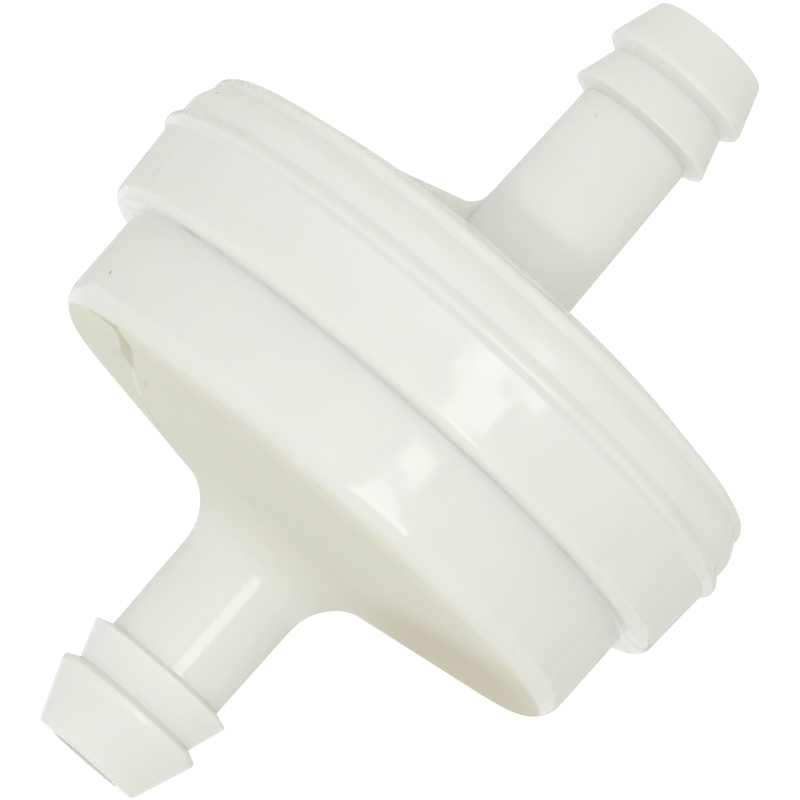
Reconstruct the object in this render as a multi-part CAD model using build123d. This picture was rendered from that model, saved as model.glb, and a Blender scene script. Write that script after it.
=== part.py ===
# Inline fuel filter for a small engine: two welded nylon mouldings with a barbed hose tube at each end,
# and a woven screen in a spoked frame clamped between them. Millimetres, +Z towards the inlet tube,
# origin on the axis at mid-length.
import os
from math import cos, radians, sin, tan

from build123d import *

# Lengths along the axis, each measured from the weld seam
bowl_length = 26.25
cap_length = 20.63
seam_z = (cap_length - bowl_length) / 2

# Walls and fits
wall = 1.35
passage_radius = 2.0
spigot_clearance = 0.05
frame_clearance = 0.10
inner_corner_round = 0.8

# Collar and weld flash
collar_radius = 17.46
collar_height = 4.66
collar_draft = 3.4
collar_edge_round = 0.60
collar_root_round = 0.18
flash_rise = 0.28
flash_land = 0.13
flash_bowl_foot = 0.48
flash_cap_foot = 0.62
flash_round = 0.30

# Bowl drum, shoulder and cone
drum_inset = 1.70
drum_draft = 0.7
shoulder_height = 10.32
shoulder_round = 1.50
cone_angle = 10.1
inlet_root_round = 3.0

# Cap band, crown and face
band_inset = 0.06
band_end = 1.58
band_edge_round = 1.20
crown_inset = 0.43
crown_step = 0.86
crown_wall = 0.69
crown_edge_round = 0.50
crown_angle = 13.1
face_bevel = 4.27
face_round = 6.0
outlet_root_round = 0.25

# Seat of the screen frame
seat_height = 3.61
frame_height = 1.40

# Inlet tube: the barb nearer the tip is the outer one
inlet_stem_radius = 3.35
inlet_stem_draft = 0.6
inlet_inner_barb_height = 20.40
inlet_barb_pitch = 2.23
inlet_barb_radius = 4.14
inlet_barb_root_radius = 3.50
inlet_outer_barb_back = 0.32
inlet_tip_radius = 2.96
inlet_tip_round = 0.25

# Outlet tube, heights measured from the seam towards its tip
outlet_stem_radius = 3.22
outlet_stem_draft = 1.4
outlet_inner_barb_height = 14.87
outlet_barb_pitch = 2.48
outlet_barb_radius = 4.05
outlet_barb_root_radius = 3.40
outlet_outer_barb_back = 0.46
outlet_tip_radius = 3.22
outlet_tip_round = 0.28

# Barb forms that both tubes share
outer_barb_land = 0.30
inner_barb_land = 0.10
inner_barb_back = 0.27
barb_round = 0.10

# Gusset on the cap and gate dimple on the bowl
gusset_width = 1.0
gusset_margin = 0.25
gusset_tube_height = 2.70
gusset_round = 1.10
dimple_radius = 0.95
dimple_depth = 0.16
dimple_inset = 3.30
dimple_bearing = -25.0

# Screen frame
frame_lip = 0.91
frame_recess_depth = 0.30
spoke_count = 6
spoke_width = 1.20
middle_ring_radius = 7.8
middle_ring_width = 1.1
hub_radius = 2.3

# Woven screen
screen_clearance = 0.08
screen_rim = 1.35
screen_web = 0.14
thread_pitch = 2.22
thread_width = 0.82
thread_ridge_width = 0.50

# Worked-out sizes that several pieces share
drum_radius = collar_radius - drum_inset
band_radius = collar_radius - band_inset
crown_radius = band_radius - crown_inset
face_radius = crown_radius - face_bevel
chamber_radius = drum_radius - wall
collar_edge_radius = collar_radius - collar_height * tan(radians(collar_draft))
shoulder_radius = drum_radius - (shoulder_height - collar_height) * tan(radians(drum_draft))
cone_slope = tan(radians(cone_angle))
cone_wall_height = wall / cos(radians(cone_angle))
rebate_radius = chamber_radius + wall + frame_clearance + spigot_clearance
seat_z = seam_z + seat_height
crown_edge_height = band_end + crown_step + crown_wall
face_height = crown_edge_height + face_bevel * tan(radians(crown_angle))


def turned(outline):
    """Solid of revolution about Z from (radius, height, corner rounding) points in order."""
    profile = Sketch() + make_face(Polyline(*[(r, 0, z) for r, z, _ in outline], close=True))
    for r, z, rounding in outline:
        if rounding:
            corner = profile.vertices().sort_by_distance((r, 0, z))[0]
            profile = fillet(corner, rounding)
    return revolve(profile, Axis.Z)


def barbed_tube(up, stem, inner, pitch, crest, root, outer_back, tip_z, tip, tip_round):
    """Outline points of a barbed tube's outside, from its inner barb to the passage at the tip."""
    outer = inner + pitch
    return [
        (stem, seam_z + up * inner, 0),
        (crest, seam_z + up * (inner + inner_barb_back), barb_round),
        (crest, seam_z + up * (inner + inner_barb_back + inner_barb_land), 0),
        (root, seam_z + up * outer, 0),
        (crest, seam_z + up * (outer + outer_back), barb_round),
        (crest, seam_z + up * (outer + outer_back + outer_barb_land), 0),
        (tip, tip_z, tip_round),
        (passage_radius, tip_z, 0),
    ]


def cone_z(r):
    """Height of the bowl's outer cone at a radius."""
    return seam_z + shoulder_height + (shoulder_radius - r) * cone_slope


def inlet_bowl():
    """Deep moulding: collar with rebate and seat, drum, cone and the barbed inlet tube."""
    lip_z = seam_z + collar_height
    stem_root = inlet_stem_radius + (seam_z + inlet_inner_barb_height - cone_z(inlet_stem_radius)) * tan(
        radians(inlet_stem_draft)
    )
    flash_outer = collar_radius + flash_rise
    collar_above_flash = collar_radius - flash_bowl_foot * tan(radians(collar_draft))
    tube = barbed_tube(
        up=1,
        stem=inlet_stem_radius,
        inner=inlet_inner_barb_height,
        pitch=inlet_barb_pitch,
        crest=inlet_barb_radius,
        root=inlet_barb_root_radius,
        outer_back=inlet_outer_barb_back,
        tip_z=seam_z + bowl_length,
        tip=inlet_tip_radius,
        tip_round=inlet_tip_round,
    )
    outline = [
        (rebate_radius, seam_z, 0),
        (flash_outer, seam_z, 0),
        (flash_outer, seam_z + flash_land, flash_round),
        (collar_above_flash, seam_z + flash_bowl_foot, flash_round),
        (collar_edge_radius, lip_z, collar_edge_round),
        (drum_radius, lip_z, collar_root_round),
        (shoulder_radius, seam_z + shoulder_height, shoulder_round),
        (stem_root, cone_z(stem_root), inlet_root_round),
        *tube,
        (passage_radius, cone_z(passage_radius) - cone_wall_height, 0),
        (chamber_radius, cone_z(chamber_radius) - cone_wall_height, inner_corner_round),
        (chamber_radius, seat_z, 0),
        (rebate_radius, seat_z, 0),
    ]
    return turned(outline) - gate_dimple()


def gate_dimple():
    """Ball that leaves the shallow round gate mark on the bowl's cone."""
    ball_radius = (dimple_radius**2 + dimple_depth**2) / (2 * dimple_depth)
    reach = ball_radius - dimple_depth
    lean = radians(cone_angle)
    place = shoulder_radius - dimple_inset
    centre = (place + reach * sin(lean), 0, cone_z(place) + reach * cos(lean))
    return Rot(0, 0, dimple_bearing) * Pos(*centre) * Sphere(ball_radius)


def outlet_cap():
    """Shallow moulding: spigot, flange band, crowned face, gusset and the barbed outlet tube."""
    face_z = seam_z - face_height
    tube = barbed_tube(
        up=-1,
        stem=outlet_stem_radius,
        inner=outlet_inner_barb_height,
        pitch=outlet_barb_pitch,
        crest=outlet_barb_radius,
        root=outlet_barb_root_radius,
        outer_back=outlet_outer_barb_back,
        tip_z=seam_z - cap_length,
        tip=outlet_tip_radius,
        tip_round=outlet_tip_round,
    )
    spigot_radius = rebate_radius - spigot_clearance
    flash_outer = collar_radius + flash_rise
    outline = [
        (chamber_radius, seat_z - frame_height, 0),
        (spigot_radius, seat_z - frame_height, 0),
        (spigot_radius, seam_z, 0),
        (flash_outer, seam_z, 0),
        (flash_outer, seam_z - flash_land, flash_round),
        (band_radius, seam_z - flash_cap_foot, flash_round),
        (band_radius, seam_z - band_end, band_edge_round),
        (crown_radius, seam_z - band_end - crown_step, 0),
        (crown_radius, seam_z - crown_edge_height, crown_edge_round),
        (face_radius, face_z, face_round),
        (outlet_stem_at(face_height), face_z, outlet_root_round),
        *tube,
        (passage_radius, face_z + wall, 0),
        (chamber_radius, face_z + wall, inner_corner_round),
    ]
    return turned(outline) + gusset()


def outlet_stem_at(height):
    """Radius of the outlet tube's stem at a height from the seam towards its tip."""
    return outlet_stem_radius + (outlet_inner_barb_height - height) * tan(radians(outlet_stem_draft))


def gusset():
    """Triangular web between the cap's face and its tube, with a round where it meets the tube."""
    face_z = seam_z - face_height
    inside = face_z + wall / 2
    reach = face_radius - gusset_margin
    corner = face_height + gusset_tube_height
    top = corner + gusset_round
    side = [
        (outlet_stem_radius - wall / 2, 0, inside),
        (reach, 0, inside),
        (reach, 0, face_z),
        (outlet_stem_at(corner), 0, seam_z - corner),
        (outlet_stem_at(top), 0, seam_z - top),
        (outlet_stem_radius - wall / 2, 0, seam_z - top),
    ]
    web = make_face(Polyline(*side, close=True))
    web = fillet(web.vertices().sort_by_distance(side[3])[0], gusset_round)
    return extrude(web, gusset_width / 2, dir=(0, 1, 0), both=True)


def screen_frame():
    """Moulded ring with spokes, middle ring and hub, recessed on the inlet side for the screen."""
    outer = rebate_radius - frame_clearance
    inner = chamber_radius - frame_lip
    recess_radius = chamber_radius + wall / 2
    floor_z = seat_z - frame_recess_depth
    low_z = seat_z - frame_height
    ring = turned(
        [
            (inner, low_z, 0),
            (outer, low_z, 0),
            (outer, seat_z, 0),
            (recess_radius, seat_z, 0),
            (recess_radius, floor_z, 0),
            (inner, floor_z, 0),
        ]
    )
    lattice = Circle(hub_radius) + (
        Circle(middle_ring_radius + middle_ring_width / 2) - Circle(middle_ring_radius - middle_ring_width / 2)
    )
    for k in range(spoke_count):
        spoke = Pos(inner / 2, 0) * Rectangle(inner + wall / 2, spoke_width)
        lattice += Rot(0, 0, 360 / spoke_count * k) * spoke
    return ring + Pos(0, 0, low_z) * extrude(lattice, floor_z - low_z)


def filter_screen():
    """Woven disc: one web with square gaps, thread ridges along X on top and along Y below."""
    radius = chamber_radius + wall / 2 - screen_clearance
    clear_radius = radius - screen_rim
    gap = thread_pitch - thread_width
    ridge = (frame_recess_depth - screen_web) / 2
    floor_z = seat_z - frame_recess_depth
    reach = int(clear_radius / thread_pitch)
    rim = turned(
        [
            (clear_radius, floor_z, 0),
            (radius, floor_z, 0),
            (radius, seat_z, 0),
            (clear_radius, seat_z, 0),
        ]
    )
    gaps = [
        Pos(i * thread_pitch, j * thread_pitch)
        for i in range(-reach, reach + 1)
        for j in range(-reach, reach + 1)
        if Vector(abs(i) * thread_pitch + gap / 2, abs(j) * thread_pitch + gap / 2).length < clear_radius
    ]
    web = Circle(clear_radius) - [place * Rectangle(gap, gap) for place in gaps]
    screen = rim + Pos(0, 0, floor_z + ridge) * extrude(web, screen_web)
    for k in range(-reach - 1, reach + 1):
        across = (k + 0.5) * thread_pitch
        if abs(across) + thread_ridge_width / 2 >= clear_radius:
            continue
        length = 2 * (clear_radius**2 - across**2) ** 0.5 + screen_rim / 2
        top = Box(length, thread_ridge_width, ridge, align=(Align.CENTER, Align.CENTER, Align.MAX))
        below = Box(thread_ridge_width, length, ridge, align=(Align.CENTER, Align.CENTER, Align.MIN))
        screen += Pos(0, across, seat_z) * top
        screen += Pos(across, 0, floor_z) * below
    return screen


os.makedirs("parts", exist_ok=True)
for node in (inlet_bowl, outlet_cap, screen_frame, filter_screen):
    export_step(node(), f"parts/{node.__name__}.step")
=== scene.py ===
"""Looks of an inline fuel filter: milky nylon mouldings, screen, studio stage and camera."""

import math

import bpy
from bpy.props import FloatProperty, FloatVectorProperty, PointerProperty
from mathutils import Matrix, Vector


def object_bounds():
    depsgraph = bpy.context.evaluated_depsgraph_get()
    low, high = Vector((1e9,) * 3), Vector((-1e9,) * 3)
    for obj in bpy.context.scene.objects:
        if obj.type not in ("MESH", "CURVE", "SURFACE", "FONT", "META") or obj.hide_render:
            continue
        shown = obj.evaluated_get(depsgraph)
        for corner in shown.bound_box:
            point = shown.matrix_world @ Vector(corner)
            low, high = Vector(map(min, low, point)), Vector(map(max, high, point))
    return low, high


bl_info = {
    "name": "Inline fuel filter",
    "version": (1, 0, 0),
    "blender": (4, 5, 0),
    "location": "View3D > Sidebar > Fuel Filter",
    "description": "Gives a welded nylon fuel filter its finishes, light and camera",
    "category": "Object",
}

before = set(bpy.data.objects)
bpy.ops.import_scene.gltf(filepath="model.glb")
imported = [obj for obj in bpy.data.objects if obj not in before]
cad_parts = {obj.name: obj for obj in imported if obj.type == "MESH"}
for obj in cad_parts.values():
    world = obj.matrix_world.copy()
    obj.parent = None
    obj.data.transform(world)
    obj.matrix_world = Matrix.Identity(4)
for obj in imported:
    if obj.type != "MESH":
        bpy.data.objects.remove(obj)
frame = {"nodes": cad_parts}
CAD_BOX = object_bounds()
MM = 0.001


def polar(radius, bearing, height):
    """Point in metres from a radius and height in millimetres and a bearing in degrees from +X."""
    turn = math.radians(bearing)
    return Vector((radius * math.cos(turn), radius * math.sin(turn), height)) * MM


BURNT, GREY, OLIVE_PAINTED_SHADE, PALE_PAINTED_HIGHLIGHT = (0.06, 0.05, 0.045), (0.50, 0.50, 0.47), (0.50, 0.47, 0.34), (0.90, 0.89, 0.80)

# Marks on the mouldings: (start, end, half width in mm, colour, strength). The burnt and grey ones are specks and a
# scratch; on the bowl the olive ones are painted shade, along the shoulder crease, in a dent and inside the end wall's
# outline, and the pale one is a painted highlight on the dent.
BOWL_SPECKS_AND_PAINTED_LIGHT = (
    (polar(15.71, -22.95, 5.44), polar(15.71, -23.05, 5.36), 0.05, BURNT, 0.65),
    # Painted shade along the crease at the shoulder
    (polar(15.19, -22.5, 7.38), polar(15.15, -29.7, 7.42), 0.05, OLIVE_PAINTED_SHADE, 0.35),
    (polar(15.15, -29.7, 7.42), polar(15.08, -34.5, 7.46), 0.07, OLIVE_PAINTED_SHADE, 0.55),
    (polar(14.95, -34.7, 7.55), polar(14.50, -37.3, 7.70), 0.20, OLIVE_PAINTED_SHADE, 0.50),
    # Painted shade on the dark side of a dent
    (polar(14.30, -36.5, 7.74), polar(12.80, -30.0, 8.02), 0.32, OLIVE_PAINTED_SHADE, 0.55),
    # Painted highlight on the lit side of the dent
    (polar(11.60, -26.0, 8.23), polar(10.00, -14.0, 8.52), 0.13, PALE_PAINTED_HIGHLIGHT, 0.60),
    # Painted shade: a small dark dot in the dent
    (polar(11.26, -30.7, 8.30), polar(11.30, -31.5, 8.29), 0.07, OLIVE_PAINTED_SHADE, 0.50),
    # Painted shade: a dark line just inside the end wall's outline
    (polar(9.20, -5.8, 8.67), polar(7.60, 2.0, 8.95), 0.12, OLIVE_PAINTED_SHADE, 0.40),
)
# The bowl's end wall is matte, and its colour is painted shade: heights in mm between which it fades in, and fades out
# up the inlet tube
END_WALL_MATTE_AND_PAINTED_SHADE = ((7.22, 7.46), (9.6, 12.2))
# Height of the weld seam in mm, and how far from it the glow inside the wall starts and is full
SEAM, GLOW_STARTS, GLOW_FULL = -2.81, 0.6, 2.6
# Line in metres, and half width in mm, of the painted warm shade on the end wall's far side
WARM_PAINTED_SHADE_LINE = (Vector((-10.0, -4.0, 8.4)) * MM, Vector((-11.5, 3.0, 8.2)) * MM, 1.8)
CAP_MARKS = (
    (polar(17.25, -18.4, -4.66), polar(17.25, -18.8, -4.60), 0.055, BURNT, 0.75),
    (polar(3.26, -54.0, -16.45), polar(3.27, -51.5, -16.60), 0.04, GREY, 0.35),
)


class FilterNylon(bpy.types.PropertyGroup):
    """Colours and surface of the milky nylon."""

    base: FloatVectorProperty(
        name="Nylon",
        description="Colour of the mouldings where they are thick",
        subtype="COLOR",
        default=(0.80, 0.805, 0.79),
    )
    cloud: FloatVectorProperty(
        name="Cloud",
        description="Colour of the faint clouds in the moulding",
        subtype="COLOR",
        default=(0.775, 0.785, 0.760),
    )
    # Painted shade: the end wall's darker, warmer colour stands in for the shade it lies in
    end_wall_painted_shade: FloatVectorProperty(
        name="End wall",
        description="Colour of the bowl's matte end wall",
        subtype="COLOR",
        default=(0.755, 0.755, 0.685),
    )
    # Painted shade: the end wall turns to this warmer, darker colour on its far side, where it lies in shade
    warm_painted_shade: FloatVectorProperty(
        name="Warm side",
        description="Colour that the end wall turns towards on its far side",
        subtype="COLOR",
        default=(0.60, 0.54, 0.42),
    )
    gloss: FloatProperty(
        name="Roughness", description="Roughness of the moulded skin", default=0.11, min=0.0, max=1.0
    )
    matte: FloatProperty(
        name="End wall roughness", description="Roughness of the end wall", default=0.85, min=0.0, max=1.0
    )
    glow: FloatProperty(
        name="Scatter", description="Share of light that scatters inside the wall", default=0.55, min=0.0, max=1.0
    )
    depth: FloatProperty(
        name="Scatter depth", description="How far light travels in the wall", subtype="DISTANCE", default=0.0008
    )


class FilterScreenLook(bpy.types.PropertyGroup):
    """Colours of the screen and its frame."""

    frame: FloatVectorProperty(
        name="Frame", description="Colour of the moulded frame", subtype="COLOR", default=(0.82, 0.82, 0.80)
    )
    thread: FloatVectorProperty(
        name="Thread", description="Colour of the woven threads", subtype="COLOR", default=(0.78, 0.78, 0.75)
    )
    mesh_pitch: FloatProperty(
        name="Mesh pitch", description="Pitch of the fine weave", subtype="DISTANCE", default=0.00030
    )


class FilterStage(bpy.types.PropertyGroup):
    """Camera, floor and lamps."""

    distance: FloatProperty(
        name="Camera distance", description="From the camera to the filter", subtype="DISTANCE", default=0.29005
    )
    tilt: FloatProperty(
        name="Camera tilt",
        description="How far the camera looks down on the inlet end",
        subtype="ANGLE",
        default=math.radians(6.95),
    )
    lean: FloatProperty(
        name="Axis lean",
        description="Angle of the outlet tube above the picture's horizontal",
        subtype="ANGLE",
        default=math.radians(48.78),
    )
    pixels_across: FloatProperty(
        name="Pixels per picture", description="Width of the picture in pixels", default=800.0
    )
    pixels_per_mm: FloatProperty(
        name="Pixels per millimetre", description="Scale of the picture at the filter's axis", default=20.4
    )
    floor_drop: FloatProperty(
        name="Floor drop", description="Floor below the outlet tip", subtype="DISTANCE", default=0.012
    )
    aim: FloatVectorProperty(
        name="Aim", description="Point that the camera looks at", subtype="TRANSLATION", default=(0.00001, 0, 0.00007)
    )
    key_power: FloatProperty(name="Key", description="Power of the lamp above the inlet in watts", default=1.0)
    front_power: FloatProperty(name="Front", description="Power of the soft lamp by the camera in watts", default=1.15)
    window_power: FloatProperty(name="Window", description="Power of the window panel in watts", default=0.165)
    ceiling: FloatVectorProperty(
        name="Ceiling", description="Light from above the inlet", subtype="COLOR", max=2.0, default=(0.69, 0.69, 0.65)
    )
    wall: FloatVectorProperty(
        name="Wall", description="Light from the gusset's side", subtype="COLOR", max=2.0, default=(1.45, 1.45, 1.42)
    )
    far_wall: FloatVectorProperty(
        name="Far wall",
        description="Light from the side away from the gusset",
        subtype="COLOR",
        max=2.0,
        default=(0.98, 0.96, 0.82),
    )
    rear_wall: FloatVectorProperty(
        name="Rear wall", description="Light from behind the camera", subtype="COLOR", max=2.0, default=(0.04, 0.04, 0.04)
    )


def sock(node, name):
    """Input socket of a node by name."""
    return node.inputs[name]


def new_group(name, inputs, outputs):
    """Empty shader node group with named sockets, and its input and output nodes."""
    tree = bpy.data.node_groups.new(name, "ShaderNodeTree")
    for label, kind, value in inputs:
        socket = tree.interface.new_socket(name=label, in_out="INPUT", socket_type=kind)
        if value is not None:
            socket.default_value = value
    for label, kind in outputs:
        tree.interface.new_socket(name=label, in_out="OUTPUT", socket_type=kind)
    return tree, tree.nodes.new("NodeGroupInput"), tree.nodes.new("NodeGroupOutput")


def vector_math(tree, operation, first, second=None):
    """Vector Math node fed by two sockets."""
    node = tree.nodes.new("ShaderNodeVectorMath")
    node.operation = operation
    tree.links.new(first, node.inputs[0])
    if second is not None:
        tree.links.new(second, node.inputs[1])
    return node


def number_math(tree, operation, first, second, clamp=False):
    """Math node fed by sockets or plain numbers."""
    node = tree.nodes.new("ShaderNodeMath")
    node.operation = operation
    node.use_clamp = clamp
    for socket, value in zip(node.inputs, (first, second)):
        if isinstance(value, (int, float)):
            socket.default_value = value
        else:
            tree.links.new(value, socket)
    return node.outputs[0]


def colour_mix(tree, share, first, second):
    """Mix of two colours, each a socket or a plain colour, by a share from 0 to 1."""
    node = tree.nodes.new("ShaderNodeMix")
    node.data_type = "RGBA"
    tree.links.new(share, node.inputs["Factor"])
    for socket, value in ((node.inputs["A"], first), (node.inputs["B"], second)):
        if isinstance(value, bpy.types.NodeSocket):
            tree.links.new(value, socket)
        else:
            socket.default_value = (*value, 1)
    return node.outputs["Result"]


def mark_group():
    """Mask of a mark along the line from Start to End: 1 on the line, 0 past Width plus Edge."""
    tree, start, end = new_group(
        "Mark",
        [
            ("Point", "NodeSocketVector", None),
            ("Start", "NodeSocketVector", (0, 0, 0)),
            ("End", "NodeSocketVector", (0, 0, 0.001)),
            ("Width", "NodeSocketFloat", 0.0001),
            ("Edge", "NodeSocketFloat", 0.0001),
        ],
        [("Mask", "NodeSocketFloat")],
    )
    point, tail, head, width, edge = (start.outputs[k] for k in ("Point", "Start", "End", "Width", "Edge"))
    along = vector_math(tree, "SUBTRACT", head, tail).outputs[0]
    off = vector_math(tree, "SUBTRACT", point, tail).outputs[0]
    reach = vector_math(tree, "DOT_PRODUCT", off, along).outputs["Value"]
    whole = vector_math(tree, "DOT_PRODUCT", along, along).outputs["Value"]
    share = number_math(tree, "DIVIDE", reach, whole, clamp=True)
    foot = tree.nodes.new("ShaderNodeVectorMath")
    foot.operation = "SCALE"
    tree.links.new(along, foot.inputs[0])
    tree.links.new(share, foot.inputs["Scale"])
    gap = vector_math(tree, "SUBTRACT", off, foot.outputs[0]).outputs[0]
    away = vector_math(tree, "LENGTH", gap).outputs["Value"]
    outer = number_math(tree, "ADD", width, edge)
    ramp = tree.nodes.new("ShaderNodeMapRange")
    ramp.interpolation_type = "SMOOTHSTEP"
    tree.links.new(away, ramp.inputs["Value"])
    tree.links.new(width, ramp.inputs["From Min"])
    tree.links.new(outer, ramp.inputs["From Max"])
    ramp.inputs["To Min"].default_value = 1.0
    ramp.inputs["To Max"].default_value = 0.0
    tree.links.new(ramp.outputs["Result"], end.inputs["Mask"])
    return tree


def band_group():
    """Mask of a height band: 1 between its soft lower and upper edges."""
    tree, start, end = new_group(
        "Height band",
        [
            ("Point", "NodeSocketVector", None),
            ("Foot from", "NodeSocketFloat", 0.0),
            ("Foot to", "NodeSocketFloat", 0.001),
            ("Head from", "NodeSocketFloat", 0.002),
            ("Head to", "NodeSocketFloat", 0.003),
        ],
        [("Mask", "NodeSocketFloat")],
    )
    parts = tree.nodes.new("ShaderNodeSeparateXYZ")
    tree.links.new(start.outputs["Point"], parts.inputs[0])
    edges = []
    for name, low, high in (("Foot", 0.0, 1.0), ("Head", 1.0, 0.0)):
        ramp = tree.nodes.new("ShaderNodeMapRange")
        ramp.interpolation_type = "SMOOTHSTEP"
        tree.links.new(parts.outputs["Z"], ramp.inputs["Value"])
        tree.links.new(start.outputs[name + " from"], ramp.inputs["From Min"])
        tree.links.new(start.outputs[name + " to"], ramp.inputs["From Max"])
        ramp.inputs["To Min"].default_value = low
        ramp.inputs["To Max"].default_value = high
        edges.append(ramp.outputs["Result"])
    tree.links.new(number_math(tree, "MULTIPLY", *edges), end.inputs["Mask"])
    return tree


def cloud_group():
    """Faint clouds and fine grain of moulded nylon: a colour, a roughness and a height."""
    tree, start, end = new_group(
        "Moulded nylon",
        [
            ("Point", "NodeSocketVector", None),
            ("Base", "NodeSocketColor", (0.8, 0.8, 0.8, 1)),
            ("Cloud", "NodeSocketColor", (0.7, 0.7, 0.7, 1)),
            ("Roughness", "NodeSocketFloat", 0.3),
        ],
        [("Colour", "NodeSocketColor"), ("Roughness", "NodeSocketFloat"), ("Height", "NodeSocketFloat")],
    )
    point = start.outputs["Point"]

    def noise(scale, detail):
        node = tree.nodes.new("ShaderNodeTexNoise")
        node.inputs["Scale"].default_value = scale
        node.inputs["Detail"].default_value = detail
        tree.links.new(point, node.inputs["Vector"])
        return node.outputs["Fac"]

    clouds = noise(170.0, 3.0)
    waves = noise(260.0, 1.0)
    grain = noise(5200.0, 2.0)
    flat = tree.nodes.new("ShaderNodeVectorMath")
    flat.operation = "MULTIPLY"
    flat.inputs[1].default_value = (1, 1, 0)
    tree.links.new(point, flat.inputs[0])
    reach = vector_math(tree, "LENGTH", flat.outputs[0]).outputs["Value"]
    outside = tree.nodes.new("ShaderNodeMapRange")
    tree.links.new(reach, outside.inputs["Value"])
    outside.inputs["From Min"].default_value = 6 * MM
    outside.inputs["From Max"].default_value = 13 * MM
    ripple = number_math(tree, "MULTIPLY", waves, outside.outputs["Result"])
    tree.links.new(colour_mix(tree, clouds, start.outputs["Base"], start.outputs["Cloud"]), end.inputs["Colour"])
    wobble = number_math(tree, "MULTIPLY_ADD", clouds, 0.08)
    wobble.node.inputs[2].default_value = -0.04
    tree.links.new(number_math(tree, "ADD", start.outputs["Roughness"], wobble), end.inputs["Roughness"])
    fine = number_math(tree, "MULTIPLY", grain, 0.012)
    tree.links.new(number_math(tree, "ADD", ripple, fine), end.inputs["Height"])
    return tree


def group_node(material, tree):
    """Places a node group in a material."""
    node = material.node_tree.nodes.new("ShaderNodeGroup")
    node.node_tree = tree
    return node


def nylon_material(name, look, clouds, mark, marks, band=None):
    """Semi-gloss milky nylon with clouds, a slightly wavy skin, its own specks and marks of painted shade and a
    painted highlight, and a matte end wall whose colour is painted shade.
    """
    material = bpy.data.materials.new(name)
    material.use_nodes = True
    tree = material.node_tree
    shader = tree.nodes["Principled BSDF"]
    place = tree.nodes.new("ShaderNodeTexCoord")
    skin = group_node(material, clouds)
    tree.links.new(place.outputs["Object"], skin.inputs["Point"])
    sock(skin, "Base").default_value = (*look.base, 1)
    sock(skin, "Cloud").default_value = (*look.cloud, 1)
    sock(skin, "Roughness").default_value = look.gloss
    colour, roughness = skin.outputs["Colour"], skin.outputs["Roughness"]
    if band:
        # The end wall's band gives a matte roughness, and painted shade in its colour
        wall = group_node(material, band)
        tree.links.new(place.outputs["Object"], wall.inputs["Point"])
        for socket, height in zip(list(wall.inputs)[1:], (*END_WALL_MATTE_AND_PAINTED_SHADE[0], *END_WALL_MATTE_AND_PAINTED_SHADE[1])):
            socket.default_value = height * MM
        dull = number_math(tree, "MULTIPLY", wall.outputs["Mask"], look.matte)
        roughness = number_math(tree, "MAXIMUM", roughness, dull)
        # Painted shade: warmer and darker along a line on the end wall's far side
        tail, head, width = WARM_PAINTED_SHADE_LINE
        shade = mark_node(material, mark, place, tail, head, width, 5.0)
        painted_shade_tone = colour_mix(tree, number_math(tree, "MULTIPLY", shade, 0.75), tuple(look.end_wall_painted_shade), tuple(look.warm_painted_shade))
        colour = colour_mix(tree, wall.outputs["Mask"], colour, painted_shade_tone)
    # Specks, and on the bowl painted shade and a painted highlight
    for tail, head, width, tint, strength in marks:
        colour = add_mark(material, mark, place, colour, (tail, head, width), tint, strength)
    tree.links.new(colour, shader.inputs["Base Color"])
    tree.links.new(roughness, shader.inputs["Roughness"])
    bump = tree.nodes.new("ShaderNodeBump")
    bump.inputs["Strength"].default_value = 0.5
    bump.inputs["Distance"].default_value = 0.00055
    tree.links.new(skin.outputs["Height"], bump.inputs["Height"])
    tree.links.new(bump.outputs["Normal"], shader.inputs["Normal"])
    shader.inputs["IOR"].default_value = 1.53
    tree.links.new(glow_away_from_seam(tree, place, look.glow), shader.inputs["Subsurface Weight"])
    shader.inputs["Subsurface Radius"].default_value = (1.0, 0.85, 0.55)
    shader.inputs["Subsurface Scale"].default_value = look.depth
    return material


def glow_away_from_seam(tree, place, glow):
    """Share of light that scatters in the wall: none at the weld seam, where two meshes meet, and all past it."""
    parts = tree.nodes.new("ShaderNodeSeparateXYZ")
    tree.links.new(place.outputs["Object"], parts.inputs[0])
    gap = number_math(tree, "SUBTRACT", parts.outputs["Z"], SEAM * MM)
    ramp = tree.nodes.new("ShaderNodeMapRange")
    ramp.interpolation_type = "SMOOTHSTEP"
    tree.links.new(number_math(tree, "ABSOLUTE", gap, 0.0), ramp.inputs["Value"])
    ramp.inputs["From Min"].default_value = GLOW_STARTS * MM
    ramp.inputs["From Max"].default_value = GLOW_FULL * MM
    ramp.inputs["To Max"].default_value = glow
    return ramp.outputs["Result"]


def mark_node(material, mark, place, tail, head, width, edge):
    """Mask socket of one mark, with its half width and soft edge in millimetres."""
    node = group_node(material, mark)
    material.node_tree.links.new(place.outputs["Object"], node.inputs["Point"])
    sock(node, "Start").default_value = tail
    sock(node, "End").default_value = head
    sock(node, "Width").default_value = width * MM
    sock(node, "Edge").default_value = edge * MM
    return node.outputs["Mask"]


def add_mark(material, mark, place, colour, line, tint, strength):
    """Mixes one mark's colour over a colour socket and returns the new socket."""
    tree = material.node_tree
    tail, head, width = line
    mask = mark_node(material, mark, place, tail, head, width, width)
    return colour_mix(tree, number_math(tree, "MULTIPLY", mask, strength), colour, tint)


def finish_node(node, material):
    """Gives a CAD node its one material."""
    slots = frame["nodes"][node].data.materials
    slots.clear()
    slots.append(material)


def shared(name, make):
    """Node group by name, made the first time."""
    return bpy.data.node_groups.get(name) or make()


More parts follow.
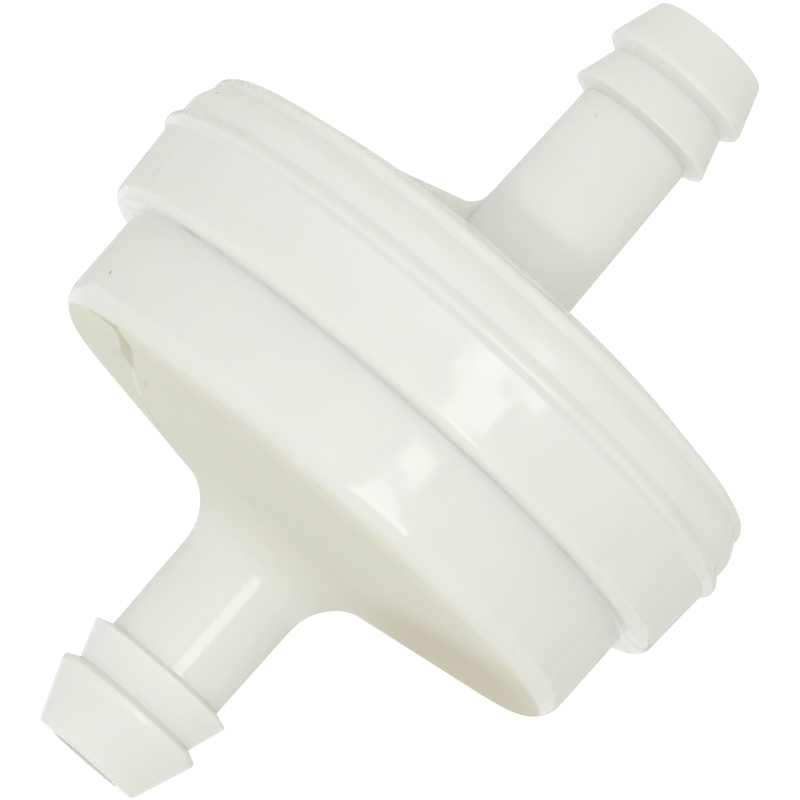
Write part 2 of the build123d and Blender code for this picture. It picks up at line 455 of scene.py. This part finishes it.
class FILTER_OT_housing(bpy.types.Operator):
    """Finish the inlet bowl and the outlet cap as milky nylon"""

    bl_idname = "filter.housing"
    bl_label = "Housing"

    def execute(self, context):
        look = context.scene.filter_nylon
        clouds, mark = shared("Moulded nylon", cloud_group), shared("Mark", mark_group)
        band = shared("Height band", band_group)
        finish_node("inlet_bowl", nylon_material("bowl_nylon", look, clouds, mark, BOWL_SPECKS_AND_PAINTED_LIGHT, band))
        finish_node("outlet_cap", nylon_material("cap_nylon", look, clouds, mark, CAP_MARKS))
        return {"FINISHED"}


class FILTER_OT_screen(bpy.types.Operator):
    """Finish the screen frame and the woven screen"""

    bl_idname = "filter.screen"
    bl_label = "Screen"

    def execute(self, context):
        look = context.scene.filter_screen
        finish_node("screen_frame", frame_material(look))
        finish_node("filter_screen", weave_material(look))
        return {"FINISHED"}


def frame_material(look):
    """Plain white moulded nylon of the frame."""
    material = bpy.data.materials.new("frame_nylon")
    material.use_nodes = True
    tree = material.node_tree
    shader = tree.nodes["Principled BSDF"]
    place = tree.nodes.new("ShaderNodeTexCoord")
    skin = group_node(material, shared("Moulded nylon", cloud_group))
    tree.links.new(place.outputs["Object"], skin.inputs["Point"])
    sock(skin, "Base").default_value = (*look.frame, 1)
    sock(skin, "Cloud").default_value = (*(0.94 * c for c in look.frame), 1)
    sock(skin, "Roughness").default_value = 0.45
    tree.links.new(skin.outputs["Colour"], shader.inputs["Base Color"])
    tree.links.new(skin.outputs["Roughness"], shader.inputs["Roughness"])
    return material


def weave_material(look):
    """Woven nylon: two crossed sets of fine threads."""
    material = bpy.data.materials.new("woven_screen")
    material.use_nodes = True
    tree = material.node_tree
    shader = tree.nodes["Principled BSDF"]
    place = tree.nodes.new("ShaderNodeTexCoord")
    heights = []
    for direction in ("X", "Y"):
        wave = tree.nodes.new("ShaderNodeTexWave")
        wave.bands_direction = direction
        wave.inputs["Scale"].default_value = 0.314 / look.mesh_pitch
        tree.links.new(place.outputs["Object"], wave.inputs["Vector"])
        heights.append(wave.outputs["Fac"])
    weave = number_math(tree, "MAXIMUM", *heights)
    shaded = tuple(0.55 * c for c in look.thread)
    tree.links.new(colour_mix(tree, weave, shaded, tuple(look.thread)), shader.inputs["Base Color"])
    bump = tree.nodes.new("ShaderNodeBump")
    bump.inputs["Distance"].default_value = 0.00008
    tree.links.new(weave, bump.inputs["Height"])
    tree.links.new(bump.outputs["Normal"], shader.inputs["Normal"])
    shader.inputs["Roughness"].default_value = 0.5
    return material


def picture_axes(stage):
    """World directions of the picture's right and up, and of the way back to the camera."""
    tilt = stage.tilt
    back = Vector((0, -math.cos(tilt), math.sin(tilt)))
    outlet = Vector((0, -math.sin(tilt), -math.cos(tilt)))
    across = Vector((-1, 0, 0))
    cos, sin = math.cos(stage.lean), math.sin(stage.lean)
    right = outlet * cos + across * sin
    up = outlet * sin - across * cos
    return right, up, back, across, outlet


def lamp(name, direction, distance, size, power, colour, size_y=None):
    """Area lamp that faces the filter from a direction."""
    data = bpy.data.lights.new(name, "AREA")
    data.shape = "RECTANGLE" if size_y else "DISK"
    data.size = size
    if size_y:
        data.size_y = size_y
    data.energy = power
    data.color = colour
    thing = bpy.data.objects.new(name, data)
    thing.location = direction.normalized() * distance
    thing.rotation_euler = direction.to_track_quat("Z", "Y").to_euler()
    bpy.context.collection.objects.link(thing)
    return thing


class FILTER_OT_stage(bpy.types.Operator):
    """Set the camera, floor, lamps and white surroundings"""

    bl_idname = "filter.stage"
    bl_label = "Stage"

    def execute(self, context):
        stage = context.scene.filter_stage
        right, up, back, across, outlet = picture_axes(stage)
        make_camera(stage, right, up, back)
        make_floor(stage)
        make_world(stage)
        key = lamp("key", across * -0.10 + outlet * -0.21 + back, 0.9, 0.05, stage.key_power, (1, 1, 0.99))
        front = lamp("front", across * -0.10 + back, 0.9, 0.30, stage.front_power, (1, 1, 1))
        key.visible_glossy = front.visible_glossy = False
        side = math.radians(18.5)
        beside = across * math.sin(side) + back * math.cos(side) - outlet * 0.03
        lamp("window", beside, 0.37, 0.13, stage.window_power, (1, 1, 1), 0.17)
        context.scene.view_settings.view_transform = "Standard"
        return {"FINISHED"}


def make_camera(stage, right, up, back):
    """Camera that gives the photograph's view."""
    data = bpy.data.cameras.new("camera")
    focal_pixels = stage.distance / MM * stage.pixels_per_mm
    data.lens = data.sensor_width * focal_pixels / stage.pixels_across
    data.clip_start = 0.01
    camera = bpy.data.objects.new("camera", data)
    target = Vector(stage.aim)
    turn = Matrix((right, up, back)).transposed().to_4x4()
    camera.matrix_world = Matrix.Translation(target + back * stage.distance) @ turn
    bpy.context.collection.objects.link(camera)
    bpy.context.scene.camera = camera


def make_floor(stage):
    """Pale floor below the outlet tip."""
    mesh = bpy.data.meshes.new("floor")
    half, height = 3.0, CAD_BOX[0][2] - stage.floor_drop
    corners = [(-half, -half, height), (half, -half, height), (half, half, height), (-half, half, height)]
    mesh.from_pydata(corners, [], [(0, 1, 2, 3)])
    floor = bpy.data.objects.new("floor", mesh)
    bpy.context.collection.objects.link(floor)
    material = bpy.data.materials.new("floor_white")
    material.use_nodes = True
    tree = material.node_tree
    tree.nodes.clear()
    out = tree.nodes.new("ShaderNodeOutputMaterial")
    paint = tree.nodes.new("ShaderNodeBsdfDiffuse")
    paint.inputs["Color"].default_value = (0.93, 0.93, 0.92, 1)
    lift = tree.nodes.new("ShaderNodeEmission")
    path = tree.nodes.new("ShaderNodeLightPath")
    tree.links.new(number_math(tree, "MULTIPLY", path.outputs["Is Camera Ray"], 0.5), lift.inputs["Strength"])
    both = tree.nodes.new("ShaderNodeAddShader")
    tree.links.new(paint.outputs[0], both.inputs[0])
    tree.links.new(lift.outputs[0], both.inputs[1])
    tree.links.new(both.outputs[0], out.inputs["Surface"])
    mesh.materials.append(material)


def make_world(stage):
    """White surroundings: plain white to the camera, soft fill to the filter."""
    world = bpy.data.worlds.new("white_room")
    bpy.context.scene.world = world
    world.use_nodes = True
    tree = world.node_tree
    ground = tree.nodes["Background"]
    place = tree.nodes.new("ShaderNodeTexCoord")
    parts = tree.nodes.new("ShaderNodeSeparateXYZ")
    tree.links.new(place.outputs["Generated"], parts.inputs[0])
    sideways = number_math(tree, "MULTIPLY_ADD", parts.outputs["X"], 0.5, clamp=True)
    sideways.node.inputs[2].default_value = 0.5
    upwards = number_math(tree, "MAXIMUM", parts.outputs["Z"], 0.0)
    path = tree.nodes.new("ShaderNodeLightPath")
    seen = number_math(tree, "MAXIMUM", path.outputs["Is Camera Ray"], path.outputs["Is Glossy Ray"])
    seen = number_math(tree, "MAXIMUM", seen, path.outputs["Is Transmission Ray"])
    frontways = number_math(tree, "MULTIPLY", parts.outputs["Y"], -1.0, clamp=True)
    walls = colour_mix(tree, sideways, stage.far_wall, stage.wall)
    walls = colour_mix(tree, frontways, walls, stage.rear_wall)
    room = colour_mix(tree, upwards, walls, stage.ceiling)
    tree.links.new(colour_mix(tree, seen, room, (1, 1, 1)), ground.inputs["Color"])


class FILTER_PT_panel(bpy.types.Panel):
    """Lists the filter's sizes, colours and steps"""

    bl_label = "Fuel filter"
    bl_space_type = "VIEW_3D"
    bl_region_type = "UI"
    bl_category = "Fuel Filter"

    def draw(self, context):
        layout = self.layout
        for operator in OPERATORS:
            layout.operator(operator.bl_idname)
        for holder in HOLDERS:
            group = getattr(context.scene, holder)
            for name in group.__annotations__:
                layout.prop(group, name)


HOLDERS = {"filter_nylon": FilterNylon, "filter_screen": FilterScreenLook, "filter_stage": FilterStage}
OPERATORS = (FILTER_OT_housing, FILTER_OT_screen, FILTER_OT_stage)


def register():
    for kind in (*HOLDERS.values(), *OPERATORS, FILTER_PT_panel):
        bpy.utils.register_class(kind)
    for holder, kind in HOLDERS.items():
        setattr(bpy.types.Scene, holder, PointerProperty(type=kind))


def unregister():
    for holder in HOLDERS:
        delattr(bpy.types.Scene, holder)
    for kind in reversed((*HOLDERS.values(), *OPERATORS, FILTER_PT_panel)):
        bpy.utils.unregister_class(kind)


def main():
    register()
    for step in (bpy.ops.filter.housing, bpy.ops.filter.screen, bpy.ops.filter.stage):
        step()


if __name__ == "__main__":
    main()
